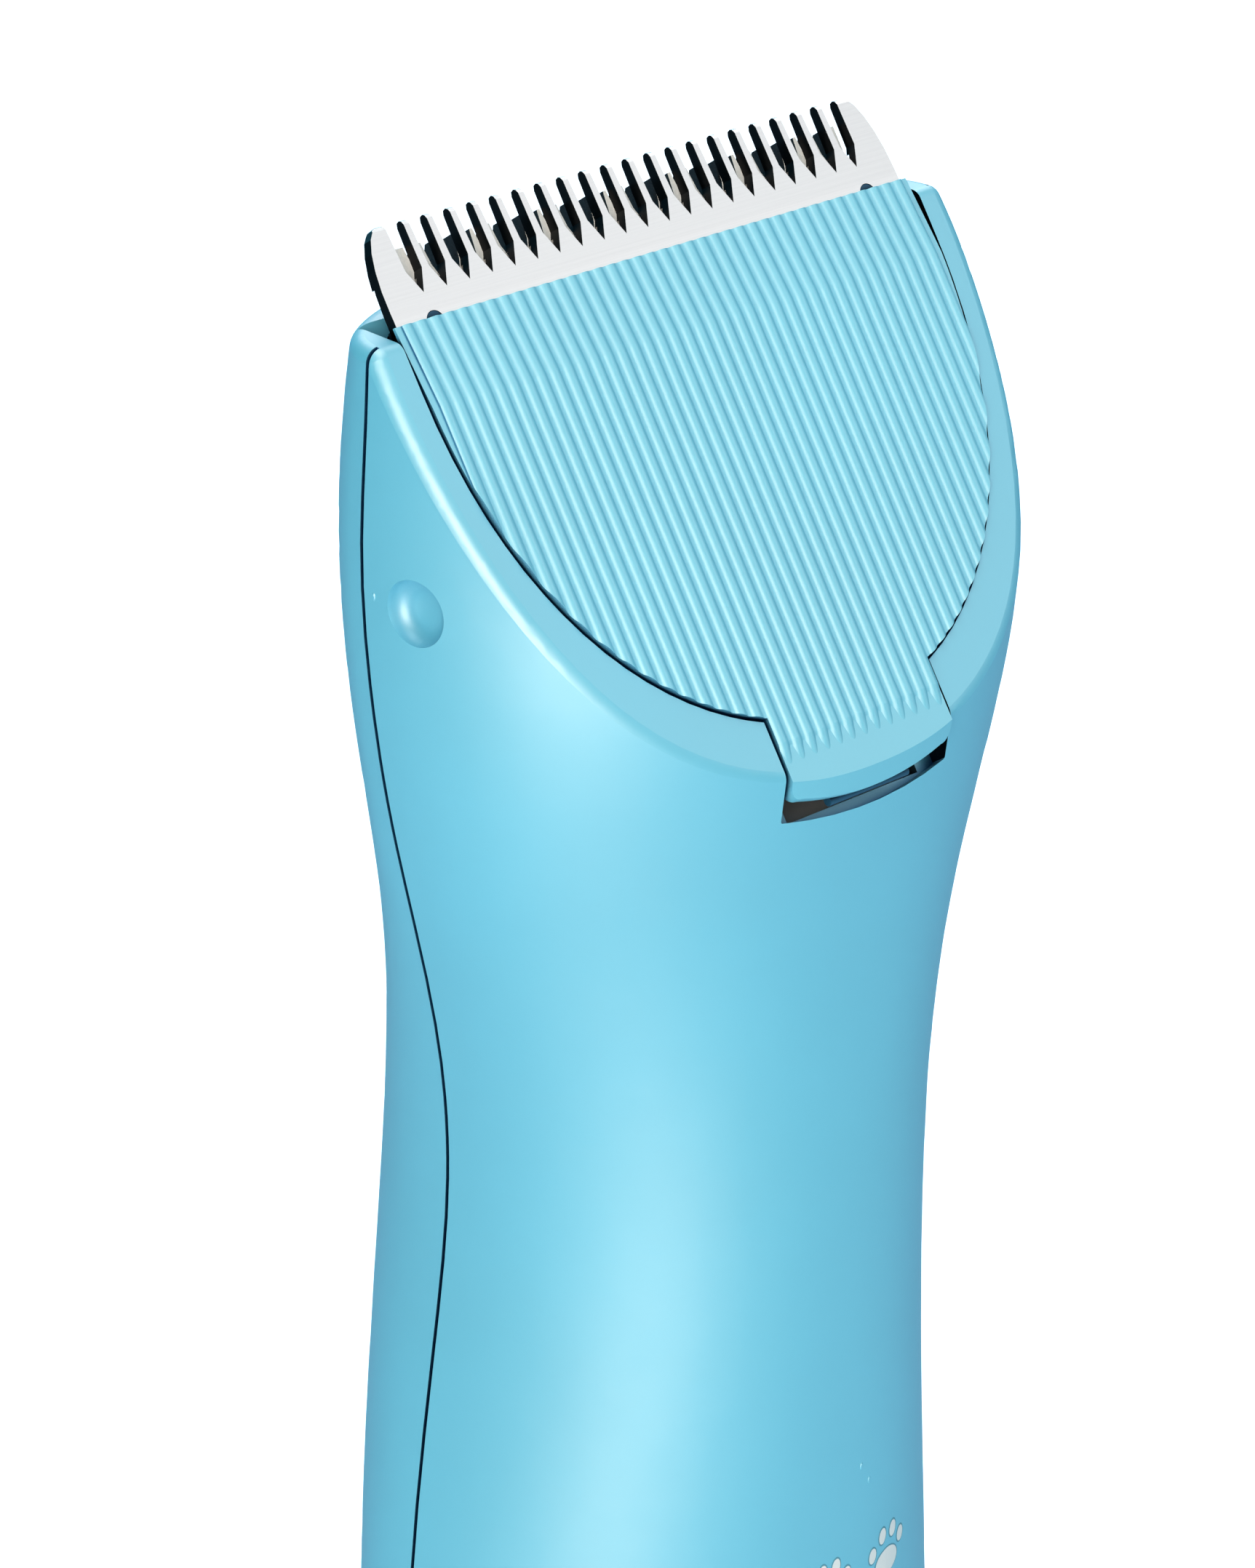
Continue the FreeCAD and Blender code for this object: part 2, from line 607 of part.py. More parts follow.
def inner_frame():
    """One moulding: motor cradle above, battery cradle and board wall below."""
    wall = box((-10, 10), (FRAME_FRONT, FRAME_BACK), (22, 96))
    rings = []
    for low, high in ((95.0, 100.0), (110.0, 114.0), (118.6, DECK_LOW - 0.02)):
        rings.append(box((-13.2, 13.2), (DRIVE_Y - 9.4, DRIVE_Y + 9.4), (low, high)))
    posts = []
    for x in (-11.9, 11.9):
        posts.append(box((x - 1.3, x + 1.3), (DRIVE_Y - 3, DRIVE_Y + 3), (95, DECK_LOW - 0.02)))
    arms = []
    for low, high in ((44.0, 49.0), (80.0, 85.0)):
        arms.append(box((-8.6, 8.6), (FRAME_FRONT, BATTERY_Y + 2.5), (low, high)))
    frame = fuse([wall] + rings + posts + arms).common(room())
    frame = frame.cut(flatted(MOTOR_R + 0.06, MOTOR_FLAT + 0.06, MOTOR_LOW - 0.05, MOTOR_TOP + 0.05))
    frame = frame.cut(upright(5.4, 0, DRIVE_Y, 90, 130))
    frame = frame.cut(upright(7.3, 0, DRIVE_Y, 90, MOTOR_LOW))
    frame = frame.cut(upright(BATTERY_R + 0.08, 0, BATTERY_Y, 30, 94.5))
    for z in BOARD_SCREW_Z:
        for x in (-BOARD_SCREW_X, BOARD_SCREW_X):
            frame = frame.cut(rod(0.7, Vector(x, -20, z), Vector(x, 4, z)))
    for x in (-DECK_SCREW_X, DECK_SCREW_X):
        frame = frame.cut(upright(0.6, x, DECK_SCREW_Y, 112, 130))
    return frame


# ---- electrics ----------------------------------------------------------------------------
def battery_cell():
    low = Vector(0, BATTERY_Y, BATTERY_LOW)
    cell = rod(BATTERY_R, low, Vector(0, BATTERY_Y, BATTERY_HIGH - 1))
    neck = upright(BATTERY_R - 0.6, 0, BATTERY_Y, BATTERY_HIGH - 1, BATTERY_HIGH - 0.4)
    return cell.fuse(neck).removeSplitter()


def battery_button():
    return upright(2.6, 0, BATTERY_Y, BATTERY_HIGH - 0.4, BATTERY_HIGH + 0.5)


def battery_tabs():
    """Nickel strips from both ends of the cell, over the frame, to the board's back."""
    solids = []
    for low, high in ((BATTERY_HIGH + 0.5, BATTERY_HIGH + 0.7), (BATTERY_LOW - 0.2, BATTERY_LOW)):
        solids.append(box((-2.2, 2.2), (FRAME_BACK + 0.1, BATTERY_Y + 2.5), (low, high)))
    return Part.makeCompound(solids)


def board_blank(grow):
    return box(
        (-BOARD_HALF - grow, BOARD_HALF + grow),
        (BOARD_FRONT - grow, BOARD_FRONT + BOARD_THICK + grow),
        (BOARD_LOW - grow, BOARD_HIGH + grow),
    )


def circuit_board():
    board = board_blank(0)
    for z in BOARD_SCREW_Z:
        for x in (-BOARD_SCREW_X, BOARD_SCREW_X):
            board = board.cut(rod(1.1, Vector(x, -20, z), Vector(x, 4, z)))
    return board.common(room())


def board_screws():
    solids = []
    for z in BOARD_SCREW_Z:
        for x in (-BOARD_SCREW_X, BOARD_SCREW_X):
            head = rod(1.6, Vector(x, BOARD_FRONT - 0.9, z), Vector(x, BOARD_FRONT, z))
            shank = rod(0.68, Vector(x, BOARD_FRONT, z), Vector(x, FRAME_BACK - 0.1, z))
            slot = box((x - 1, x + 1), (-20, BOARD_FRONT - 0.5), (z - 0.2, z + 0.2))
            solids.append(fuse([head, shank]).cut(slot))
    return Part.makeCompound(solids)


def deck_screws():
    solids = []
    for x in (-DECK_SCREW_X, DECK_SCREW_X):
        head = upright(1.5, x, DECK_SCREW_Y, DECK_HIGH, DECK_HIGH + 0.9)
        shank = upright(0.58, x, DECK_SCREW_Y, DECK_HIGH - 6, DECK_HIGH)
        across = (DECK_SCREW_Y - 0.2, DECK_SCREW_Y + 0.2)
        slot = box((x - 1, x + 1), across, (DECK_HIGH + 0.4, 130))
        solids.append(fuse([head, shank]).cut(slot))
    return Part.makeCompound(solids)


def base_screws():
    solids = []
    for x in (-BASE_SCREW_X, BASE_SCREW_X):
        head = upright(1.95, x, BASE_SCREW_Y, 0.12, 0.88)
        shank = upright(1.0, x, BASE_SCREW_Y, 0.88, 6.5)
        slot = box((x - 1.3, x + 1.3), (BASE_SCREW_Y - 0.22, BASE_SCREW_Y + 0.22), (-1, 0.5))
        cross = box((x - 0.22, x + 0.22), (BASE_SCREW_Y - 1.3, BASE_SCREW_Y + 1.3), (-1, 0.5))
        solids.append(fuse([head, shank]).cut(slot).cut(cross))
    return Part.makeCompound(solids)


def base_bosses():
    """Screw posts that stand on the base cap's inner face, held by the shells' floor."""
    solids = []
    for x in (-BASE_SCREW_X, BASE_SCREW_X):
        post = upright(2.2, x, BASE_SCREW_Y, 2.5, 9.0)
        solids.append(post.cut(upright(1.0, x, BASE_SCREW_Y, 2, 6.5)))
    across = (BASE_SCREW_Y - 1, BASE_SCREW_Y + 1)
    bridge = box((-BASE_SCREW_X, BASE_SCREW_X), across, (9.0, 11.0))
    return fuse(solids + [bridge])


def charge_chip():
    return box((-2.5, 2.5), (BOARD_FRONT - 1.0, BOARD_FRONT), (20, 25))


def coil_block():
    return box((2.0, 7.0), (BOARD_FRONT - 2.2, BOARD_FRONT), (66, 71))


def capacitors():
    solids = []
    for x in (-6.5, -3.5, -0.5):
        solids.append(box((x, x + 1.6), (BOARD_FRONT - 0.8, BOARD_FRONT), (67, 67.8)))
    return Part.makeCompound(solids)


def switch_body():
    high = (BUTTON_Z - SWITCH_HALF, BUTTON_Z + SWITCH_HALF)
    body = box((-SWITCH_HALF, SWITCH_HALF), (SWITCH_TOP, BOARD_FRONT), high)
    well = Vector(0, SWITCH_TOP - 1, BUTTON_Z)
    return body.cut(rod(1.7, well, Vector(0, SWITCH_TOP + 1, BUTTON_Z)))


def switch_plunger():
    return rod(1.6, Vector(0, SWITCH_TOP + 0.35, BUTTON_Z), Vector(0, PLUNGER_TOP, BUTTON_Z))


def button_cap():
    """Round cap that follows the housing's curve, with a flange behind the wall."""
    centre = Vector(0, PLUNGER_TOP, BUTTON_Z)
    face = rod(BUTTON_R - 0.12, centre, Vector(0, -20, BUTTON_Z)).common(body_solid(-BUTTON_PROUD))
    flange = rod(BUTTON_R + 1.0, centre, Vector(0, PLUNGER_TOP - 0.7, BUTTON_Z))
    hollow = rod(BUTTON_R - 1.3, Vector(0, -11.6, BUTTON_Z), Vector(0, -12.9, BUTTON_Z))
    return fuse([face, flange]).cut(hollow)


def indicator_ring():
    """Clear ring round the button that glows while charging."""
    outer = BUTTON_R + BUTTON_RING - 0.02
    ring = tube(outer, BUTTON_R + 0.02, Vector(0, -11.9, BUTTON_Z), Vector(0, -20, BUTTON_Z))
    return ring.common(body_solid(-0.1))


def indicator_lights():
    solids = []
    high = (BUTTON_Z - 0.5, BUTTON_Z + 0.5)
    for x in (-LAMP_X, LAMP_X):
        solids.append(box((x - 0.8, x + 0.8), (BOARD_FRONT - 0.7, BOARD_FRONT), high))
    return Part.makeCompound(solids)


def port_form(grow, low, high):
    """Flat oval of the charging port."""
    half = PORT_HALF_X + grow
    deep = PORT_HALF_Y + grow
    middle = box((deep - half, half - deep), (PORT_Y - deep, PORT_Y + deep), (low, high))
    ends = [upright(deep, x, PORT_Y, low, high) for x in (deep - half, half - deep)]
    return fuse([middle] + ends)


def port_shell():
    shell = port_form(0, 0.4, 7.7)
    return shell.cut(port_form(-0.3, 0, 7.2)).cut(board_blank(0))


def port_tongue():
    return box((-3.3, 3.3), (PORT_Y - 0.35, PORT_Y + 0.35), (1.2, 7.2))


def main():
    os.makedirs("parts", exist_ok=True)
    front, back = shells()
    parts = {
        "front_shell": front,
        "back_shell": back,
        "base_cap": base_cap(),
        "base_screws": base_screws(),
        "base_bosses": base_bosses(),
        "head_cover": head_cover(),
        "head_carrier": head_carrier(),
        "comb_blade": comb_blade(),
        "blade_screws": blade_screws(),
        "cutter_blade": cutter_blade(),
        "cutter_yoke": cutter_yoke(),
        "cutter_spring": cutter_spring(),
        "drive_deck": drive_deck(),
        "deck_screws": deck_screws(),
        "shaft_seal": shaft_seal(),
        "drive_hub": drive_hub(),
        "drive_pin": drive_pin(),
        "motor_shaft": motor_shaft(),
        "armature": armature(),
        "motor_can": motor_can(),
        "motor_magnets": motor_magnets(),
        "motor_end_cap": motor_end_cap(),
        "motor_terminals": motor_terminals(),
        "upper_bearing": bearing(MOTOR_TOP - 2.0, MOTOR_TOP + 1.2),
        "lower_bearing": bearing(MOTOR_LOW, MOTOR_LOW + 2.15),
        "inner_frame": inner_frame(),
        "battery_cell": battery_cell(),
        "battery_button": battery_button(),
        "battery_tabs": battery_tabs(),
        "circuit_board": circuit_board(),
        "board_screws": board_screws(),
        "charge_chip": charge_chip(),
        "coil_block": coil_block(),
        "capacitors": capacitors(),
        "switch_body": switch_body(),
        "switch_plunger": switch_plunger(),
        "button_cap": button_cap(),
        "indicator_ring": indicator_ring(),
        "indicator_lights": indicator_lights(),
        "port_shell": port_shell(),
        "port_tongue": port_tongue(),
    }
    for name, shape in parts.items():
        size = shape.BoundBox
        print(
            f"{name:17s} solids {len(shape.Solids)} valid {shape.isValid()} volume {shape.Volume:9.1f}"
            f" y {size.YMin:7.2f} {size.YMax:7.2f} z {size.ZMin:7.2f} {size.ZMax:7.2f}"
        )
        shape.exportStep(f"parts/{name}.step")


main()
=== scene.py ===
import json
import math

import bmesh
import bpy
from mathutils import Matrix, Vector
from mathutils.bvhtree import BVHTree


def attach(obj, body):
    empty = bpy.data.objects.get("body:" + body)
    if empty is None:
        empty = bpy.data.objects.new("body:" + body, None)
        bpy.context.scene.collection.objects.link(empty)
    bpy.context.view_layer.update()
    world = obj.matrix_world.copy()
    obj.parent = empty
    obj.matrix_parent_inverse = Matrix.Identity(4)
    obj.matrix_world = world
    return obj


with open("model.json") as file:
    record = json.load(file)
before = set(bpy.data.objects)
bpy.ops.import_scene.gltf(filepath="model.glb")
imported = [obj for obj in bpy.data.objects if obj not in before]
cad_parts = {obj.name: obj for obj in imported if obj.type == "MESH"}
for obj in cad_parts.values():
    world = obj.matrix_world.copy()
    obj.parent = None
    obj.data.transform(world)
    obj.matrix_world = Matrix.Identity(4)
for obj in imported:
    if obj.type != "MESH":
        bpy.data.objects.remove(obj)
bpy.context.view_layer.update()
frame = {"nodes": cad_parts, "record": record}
nodes = frame["nodes"]

MM = 0.001
CREVICE_REACH = 1.2 * MM   # how near a facing wall must be to shade a crevice
CREVICE_OPEN = 0.88       # share of open surroundings where crevice shade begins
CREVICE_SHUT = 0.32       # and where it is complete

GRIP_MIDDLE = (0.0, 0.0, 0.09)
GRIP_TOP = (0.0, 0.0, 0.14)
HEAD_MIDDLE = (0.0, 0.0, 0.15)
WARM = (1.0, 0.93, 0.82)
DEEP_WARM = (1.0, 0.87, 0.69)
SOFT_WARM = (1.0, 0.96, 0.93)
STRONG_BLUE = (0.15, 0.70, 1.0)
ROOM_BLUE = (0.10, 0.65, 1.0, 1)
ROOM_STRENGTH = 0.20
FLOOR_BLUE = (0.30, 0.52, 0.68)
FLOOR_HALF = 4.0
FLOOR_DROP = 0.1 * MM     # the floor lies this far under the base

CASE_ROUGHNESS = 0.50
CASE_GLOSS = {"Specular_IOR_Level": 1.0, "IOR": 2.1}
SEAM_SHADE = (0.0, 0.07, 0.24, 1)
CARRIER_SEAM_SHADE = (0.0, 0.002, 0.006, 1)
HOLLOW_SHADE = (0.001, 0.004, 0.008, 1)
CUT_WALL_SHADE = (0.012, 0.012, 0.013, 1)


# ---- studio -------------------------------------------------------------------------------
def set_camera():
    """Looks down on the clipper's left front corner, close on the head and grip."""
    right = Vector((0.72357, -0.68991, 0.02159))
    up = Vector((0.27784, 0.31974, 0.90585))
    back = Vector((-0.63186, -0.64945, 0.42304))
    data = bpy.data.cameras.new("studio_camera")
    data.sensor_fit = "VERTICAL"
    data.sensor_height = 36.0
    data.sensor_width = 36.0
    data.lens = 116.9
    data.clip_start = 0.01
    data.clip_end = 20.0
    camera = bpy.data.objects.new("studio_camera", data)
    bpy.context.scene.collection.objects.link(camera)
    turn = Matrix((right, up, back)).transposed().to_4x4()
    camera.matrix_world = Matrix.Translation((-0.1808, -0.1820, 0.2408)) @ turn
    bpy.context.scene.camera = camera


def soft_box(name, place, aim, size, power, colour=(1, 1, 1)):
    data = bpy.data.lights.new(name, "AREA")
    data.shape = "RECTANGLE"
    data.size, data.size_y = size
    data.energy = power
    data.color = colour
    lamp = bpy.data.objects.new(name, data)
    bpy.context.scene.collection.objects.link(lamp)
    lamp.location = place
    lamp.rotation_mode = "QUATERNION"
    lamp.rotation_quaternion = (Vector(aim) - Vector(place)).to_track_quat("-Z", "Y")
    return lamp


def light_studio():
    """Six soft boxes: warm ones in front and above, a white one and a strongly blue one behind."""
    soft_box("key_box", (-0.46, -0.49, 0.42), GRIP_MIDDLE, (0.50, 0.65), 1.60, WARM)
    soft_box("front_box", (-0.43, -0.34, 0.12), GRIP_MIDDLE, (0.42, 0.55), 3.9, DEEP_WARM)
    soft_box("top_box", (-0.05, 0.05, 0.95), GRIP_MIDDLE, (0.6, 0.6), 4.4, WARM)
    soft_box("blade_box", (0.46, -0.43, 0.49), GRIP_TOP, (0.45, 0.60), 1.0, SOFT_WARM)
    soft_box("back_box", (0.42, 0.43, 0.56), HEAD_MIDDLE, (0.60, 0.25), 2.4)
    soft_box("rear_fill", (0.30, 0.80, 0.30), GRIP_MIDDLE, (0.8, 0.8), 1.2, STRONG_BLUE)


def set_surroundings():
    """White where the camera sees it; a dim, strongly blue room lights the clipper."""
    world = bpy.data.worlds.new("studio_white")
    bpy.context.scene.world = world
    world.use_nodes = True
    tree = world.node_tree
    tree.nodes.clear()
    out = tree.nodes.new("ShaderNodeOutputWorld")
    mix = tree.nodes.new("ShaderNodeMixShader")
    path = tree.nodes.new("ShaderNodeLightPath")
    room = tree.nodes.new("ShaderNodeBackground")
    room.inputs["Color"].default_value = ROOM_BLUE
    room.inputs["Strength"].default_value = ROOM_STRENGTH
    backdrop = tree.nodes.new("ShaderNodeBackground")
    backdrop.inputs["Strength"].default_value = 1.0
    backdrop.inputs["Color"].default_value = (1, 1, 1, 1)
    tree.links.new(path.outputs["Is Camera Ray"], mix.inputs["Fac"])
    tree.links.new(room.outputs["Background"], mix.inputs[1])
    tree.links.new(backdrop.outputs["Background"], mix.inputs[2])
    tree.links.new(mix.outputs["Shader"], out.inputs["Surface"])
    bpy.context.scene.view_settings.view_transform = "Standard"


# ---- surface effects ----------------------------------------------------------------------
def new_group(name, inputs, outputs):
    """A shader group with named inputs and outputs."""
    group = bpy.data.node_groups.new(name, "ShaderNodeTree")
    for label, kind, value in inputs:
        socket = group.interface.new_socket(label, in_out="INPUT", socket_type=kind)
        socket.default_value = value
    for label, kind in outputs:
        group.interface.new_socket(label, in_out="OUTPUT", socket_type=kind)
    entry = group.nodes.new("NodeGroupInput")
    leave = group.nodes.new("NodeGroupOutput")
    return group, entry, leave


def place_on(group, scale=(1, 1, 1)):
    """Position on the part, in metres, stretched by scale."""
    spot = group.nodes.new("ShaderNodeTexCoord")
    stretch = group.nodes.new("ShaderNodeVectorMath")
    stretch.operation = "MULTIPLY"
    stretch.inputs[1].default_value = scale
    group.links.new(spot.outputs["Object"], stretch.inputs[0])
    return stretch.outputs["Vector"]


def cloud(group, place, scale, detail=2.0, rough=0.5):
    noise = group.nodes.new("ShaderNodeTexNoise")
    noise.inputs["Detail"].default_value = detail
    noise.inputs["Roughness"].default_value = rough
    group.links.new(place, noise.inputs["Vector"])
    if isinstance(scale, float):
        noise.inputs["Scale"].default_value = scale
    else:
        group.links.new(scale, noise.inputs["Scale"])
    return noise.outputs["Fac"]


def span(group, value, low, high, new_low=0.0, new_high=1.0):
    """Maps low..high to new_low..new_high; any end may be a socket."""
    node = group.nodes.new("ShaderNodeMapRange")
    group.links.new(value, node.inputs["Value"])
    for label, end in (("From Min", low), ("From Max", high), ("To Min", new_low), ("To Max", new_high)):
        if isinstance(end, (int, float)):
            node.inputs[label].default_value = end
        else:
            group.links.new(end, node.inputs[label])
    return node.outputs["Result"]


def blend_colours(group, amount, first, second):
    node = group.nodes.new("ShaderNodeMix")
    node.data_type = "RGBA"
    group.links.new(amount, node.inputs[0])
    for socket, colour in ((node.inputs[6], first), (node.inputs[7], second)):
        if isinstance(colour, tuple):
            socket.default_value = colour
        else:
            group.links.new(colour, socket)
    return node.outputs[2]


def calculate(group, operation, *values):
    node = group.nodes.new("ShaderNodeMath")
    node.operation = operation
    for index, value in enumerate(values):
        if isinstance(value, (int, float)):
            node.inputs[index].default_value = value
        else:
            group.links.new(value, node.inputs[index])
    return node.outputs["Value"]


COLOUR = "NodeSocketColor"
NUMBER = "NodeSocketFloat"
EFFECT_OUTPUTS = (("Colour", COLOUR), ("Roughness", NUMBER), ("Height", NUMBER))


def moulded_grain_and_crevice_shade():
    """Plastic from a fine-etched mould: soft cloudy tone and a tight grain, plus painted shade in crevices,
    scaled by Crevice Share.
    """
    group, entry, leave = new_group(
        "moulded_grain_and_crevice_shade",
        (
            ("Colour", COLOUR, (0.5, 0.5, 0.5, 1)), ("Shade", COLOUR, (0.4, 0.4, 0.4, 1)),
            ("Cloud Size", NUMBER, 60.0), ("Grain Size", NUMBER, 6000.0),
            ("Roughness", NUMBER, 0.45), ("Roughness Spread", NUMBER, 0.05),
            ("Crevice Colour", COLOUR, (0.0, 0.01, 0.03, 1)), ("Crevice Share", NUMBER, 0.0),
        ),
        EFFECT_OUTPUTS + (("Crevice", NUMBER),),
    )
    place = place_on(group)
    tone = span(group, cloud(group, place, entry.outputs["Cloud Size"], 3.0), 0.3, 0.7)
    grain = cloud(group, place, entry.outputs["Grain Size"], 3.0, 0.6)
    colour = blend_colours(group, tone, entry.outputs["Shade"], entry.outputs["Colour"])
    # painted shade: the colour turns to the crevice shade colour where ambient occlusion finds walls close
    # by
    shut_in = group.nodes.new("ShaderNodeAmbientOcclusion")
    shut_in.samples = 8
    shut_in.inputs["Distance"].default_value = CREVICE_REACH
    deep = span(group, shut_in.outputs["AO"], CREVICE_OPEN, CREVICE_SHUT)
    deep = calculate(group, "MULTIPLY", deep, entry.outputs["Crevice Share"])
    group.links.new(deep, leave.inputs["Crevice"])
    colour = blend_colours(group, deep, colour, entry.outputs["Crevice Colour"])
    half = calculate(group, "SUBTRACT", grain, 0.5)
    swing = calculate(group, "MULTIPLY", half, entry.outputs["Roughness Spread"])
    group.links.new(colour, leave.inputs["Colour"])
    group.links.new(calculate(group, "ADD", swing, entry.outputs["Roughness"]), leave.inputs["Roughness"])
    group.links.new(grain, leave.inputs["Height"])
    return group


def brushed_lines(name, scale):
    """Fine parallel grinding lines; the short way of scale runs along them."""
    group, entry, leave = new_group(
        name,
        (
            ("Colour", COLOUR, (0.8, 0.8, 0.8, 1)), ("Line Colour", COLOUR, (0.5, 0.5, 0.5, 1)),
            ("Roughness", NUMBER, 0.3), ("Roughness Spread", NUMBER, 0.15),
        ),
        EFFECT_OUTPUTS,
    )
    lines = cloud(group, place_on(group, scale), 1.0, 4.0, 0.7)
    strength = span(group, lines, 0.35, 0.65)
    colour = blend_colours(group, strength, entry.outputs["Line Colour"], entry.outputs["Colour"])
    half = calculate(group, "SUBTRACT", lines, 0.5)
    swing = calculate(group, "MULTIPLY", half, entry.outputs["Roughness Spread"])
    group.links.new(colour, leave.inputs["Colour"])
    group.links.new(calculate(group, "ADD", swing, entry.outputs["Roughness"]), leave.inputs["Roughness"])
    group.links.new(lines, leave.inputs["Height"])
    return group


def pressed_powder():
    """Sintered or fired stock: light and dark grains packed together."""
    group, entry, leave = new_group(
        "pressed_powder",
        (
            ("Colour", COLOUR, (0.5, 0.5, 0.5, 1)), ("Grain Colour", COLOUR, (0.3, 0.3, 0.3, 1)),
            ("Grain Size", NUMBER, 4000.0), ("Roughness", NUMBER, 0.5),
            ("Roughness Spread", NUMBER, 0.2),
        ),
        EFFECT_OUTPUTS,
    )
    cells = group.nodes.new("ShaderNodeTexVoronoi")
    group.links.new(place_on(group), cells.inputs["Vector"])
    group.links.new(entry.outputs["Grain Size"], cells.inputs["Scale"])
    shade = group.nodes.new("ShaderNodeSeparateColor")
    group.links.new(cells.outputs["Color"], shade.inputs["Color"])
    amount = shade.outputs["Red"]
    colour = blend_colours(group, amount, entry.outputs["Grain Colour"], entry.outputs["Colour"])
    swing = calculate(group, "MULTIPLY", amount, entry.outputs["Roughness Spread"])
    group.links.new(colour, leave.inputs["Colour"])
    group.links.new(calculate(group, "ADD", swing, entry.outputs["Roughness"]), leave.inputs["Roughness"])
    group.links.new(cells.outputs["Distance"], leave.inputs["Height"])
    return group


GRAIN_AND_CREVICE_SHADE = moulded_grain_and_crevice_shade()
LINES_ACROSS = brushed_lines("lines_across", (60.0, 7000.0, 7000.0))
LINES_UPRIGHT = brushed_lines("lines_upright", (5000.0, 5000.0, 80.0))
LINES_ROUND = brushed_lines("lines_round", (120.0, 120.0, 5000.0))
POWDER = pressed_powder()


# ---- materials ----------------------------------------------------------------------------
def darker(colour, share):
    return tuple(channel * share for channel in colour)


def new_finish(name, effect, colour, second, metallic=0.0, bump=0.02, depth=0.02, **values):
    """One finish: an effect group feeding a Principled shader, with its own values."""
    material = bpy.data.materials.new(name)
    material.use_nodes = True
    tree = material.node_tree
    shader = tree.nodes["Principled BSDF"]
    shader.inputs["Metallic"].default_value = metallic
    for label in ("IOR", "Coat_Weight", "Coat_Roughness", "Specular_IOR_Level", "Transmission_Weight"):
        if label in values:
            shader.inputs[label.replace("_", " ")].default_value = values.pop(label)
    look = tree.nodes.new("ShaderNodeGroup")
    look.node_tree = effect
    names = [item.name for item in effect.interface.items_tree if item.in_out == "INPUT"]
    look.inputs[names[0]].default_value = (*colour, 1)
    look.inputs[names[1]].default_value = (*second, 1)
    for label, value in values.items():
        look.inputs[label.replace("_", " ")].default_value = value
    relief = tree.nodes.new("ShaderNodeBump")
    relief.inputs["Strength"].default_value = bump
    relief.inputs["Distance"].default_value = depth * MM
    tree.links.new(look.outputs["Colour"], shader.inputs["Base Color"])
    tree.links.new(look.outputs["Roughness"], shader.inputs["Roughness"])
    tree.links.new(look.outputs["Height"], relief.inputs["Height"])
    tree.links.new(relief.outputs["Normal"], shader.inputs["Normal"])
    return material


def plastic(name, colour, roughness=0.45, grain=6000.0, bump=0.25, depth=0.01, share=0.94, **values):
    return new_finish(
        name, GRAIN_AND_CREVICE_SHADE, colour, darker(colour, share), bump=bump, depth=depth,
        Roughness=roughness, Grain_Size=grain, **values,
    )


def case_plastic(name, colour, crevice=SEAM_SHADE, **values):
    """Skin of the outer mouldings, with painted shade inside seams and grooves: deep blue and without shine
    there.
    """
    material = plastic(name, colour, CASE_ROUGHNESS, Crevice_Colour=crevice, Crevice_Share=1.0, **values)
    tree = material.node_tree
    shader = tree.nodes["Principled BSDF"]
    look = shader.inputs["Base Color"].links[0].from_node
    # painted shade: the crevice mask makes the skin metallic, so its shine takes the dark crevice colour
    tree.links.new(look.outputs["Crevice"], shader.inputs["Metallic"])
    return material


def dark_inside(material):
    """Paints the walls that face the inside of the housing nearly black, as no light there would."""
    tree = material.node_tree
    shader = tree.nodes["Principled BSDF"]
    skin = shader.inputs["Base Color"].links[0].from_socket
    crevice = shader.inputs["Metallic"].links[0].from_socket
    spot = tree.nodes.new("ShaderNodeTexCoord")
    flat = tree.nodes.new("ShaderNodeVectorMath")
    flat.operation = "MULTIPLY"
    flat.inputs[1].default_value = (1, 1, 0)
    tree.links.new(spot.outputs["Object"], flat.inputs[0])
    outward = tree.nodes.new("ShaderNodeVectorMath")
    outward.operation = "NORMALIZE"
    tree.links.new(flat.outputs["Vector"], outward.inputs[0])
    side = tree.nodes.new("ShaderNodeNewGeometry")
    facing = tree.nodes.new("ShaderNodeVectorMath")
    facing.operation = "DOT_PRODUCT"
    tree.links.new(outward.outputs["Vector"], facing.inputs[0])
    tree.links.new(side.outputs["True Normal"], facing.inputs[1])
    split = tree.nodes.new("ShaderNodeSeparateXYZ")
    tree.links.new(side.outputs["True Normal"], split.inputs["Vector"])
    upright_wall = span(tree, calculate(tree, "ABSOLUTE", split.outputs["Z"]), 0.6, 0.4)
    inner = calculate(tree, "MULTIPLY", span(tree, facing.outputs["Value"], -0.1, -0.4), upright_wall)
    dark = blend_colours(tree, inner, skin, HOLLOW_SHADE)
    tree.links.new(dark, shader.inputs["Base Color"])
    # painted shade: the inner walls also lose their shine, as the crevices do
    tree.links.new(calculate(tree, "MAXIMUM", inner, crevice), shader.inputs["Metallic"])
    return material


def metal(name, effect, colour, roughness=0.3, share=0.8, bump=0.15, **values):
    return new_finish(
        name, effect, colour, darker(colour, share), metallic=1.0, bump=bump, depth=0.01,
        Roughness=roughness, **values,
    )


def powder(name, colour, share=0.7, roughness=0.45, metallic=0.0, grain=4000.0):
    return new_finish(
        name, POWDER, colour, darker(colour, share), metallic=metallic, bump=0.3, depth=0.02,
        Roughness=roughness, Grain_Size=grain,
    )


